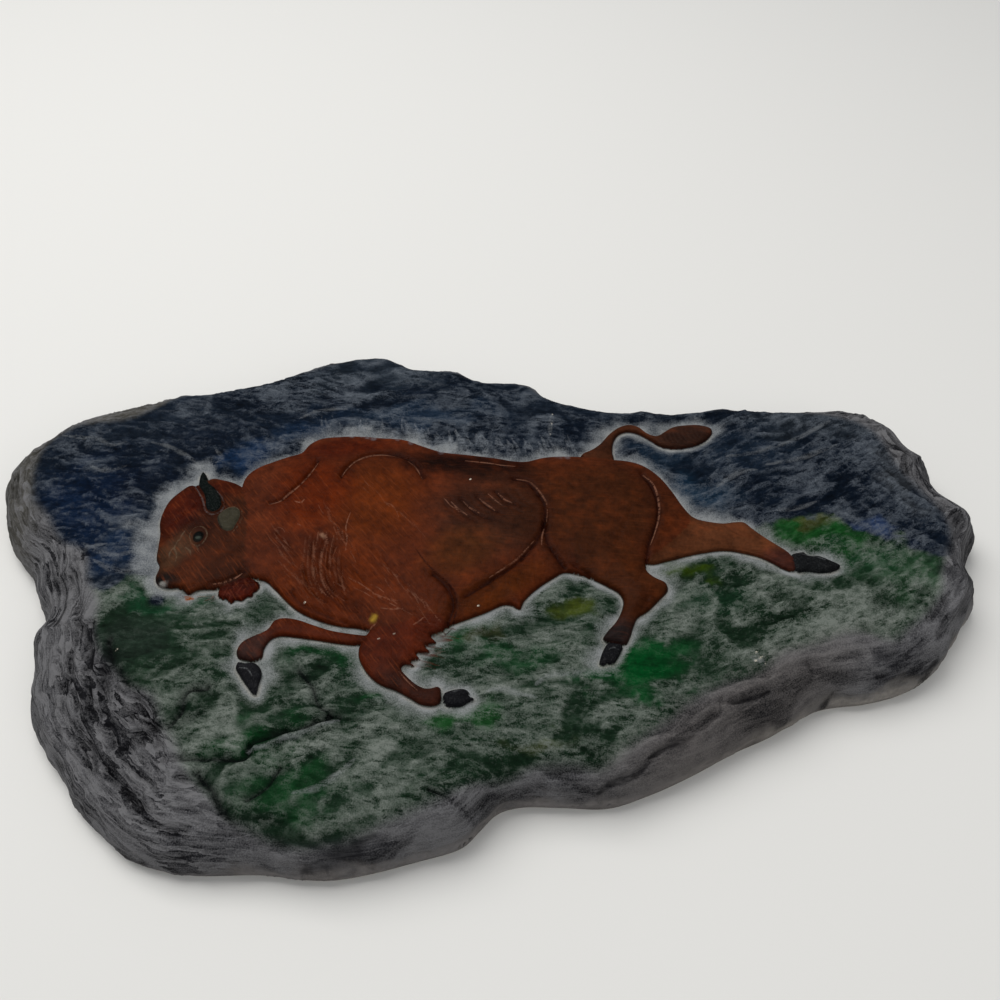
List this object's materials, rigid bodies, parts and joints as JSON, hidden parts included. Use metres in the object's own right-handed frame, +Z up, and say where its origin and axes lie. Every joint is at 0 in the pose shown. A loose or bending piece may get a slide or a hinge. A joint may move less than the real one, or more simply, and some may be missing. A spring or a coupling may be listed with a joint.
{
  "type": "plaster relief wall plaque",
  "caption": "Rock-shaped plaster wall plaque with a bison in low relief on a painted front and a flat back for hanging.",
  "frame": {"origin": "on the flat back, behind the middle of the picture, at the mount back", "axes": "+X to the right of the picture as a viewer sees it, +Z up the wall, -Y out of the painted front, +Y into the wall"},
  "size_m": [0.5973, 0.0399, 0.3564],
  "materials": {
    "painted_plaster": "plaster painted in dark blue, green and rust red with a grey dry-brushed rock edge, satin"
  },
  "bodies": {
    "root": {"plaque": "painted_plaster"}
  },
  "joints": []
}
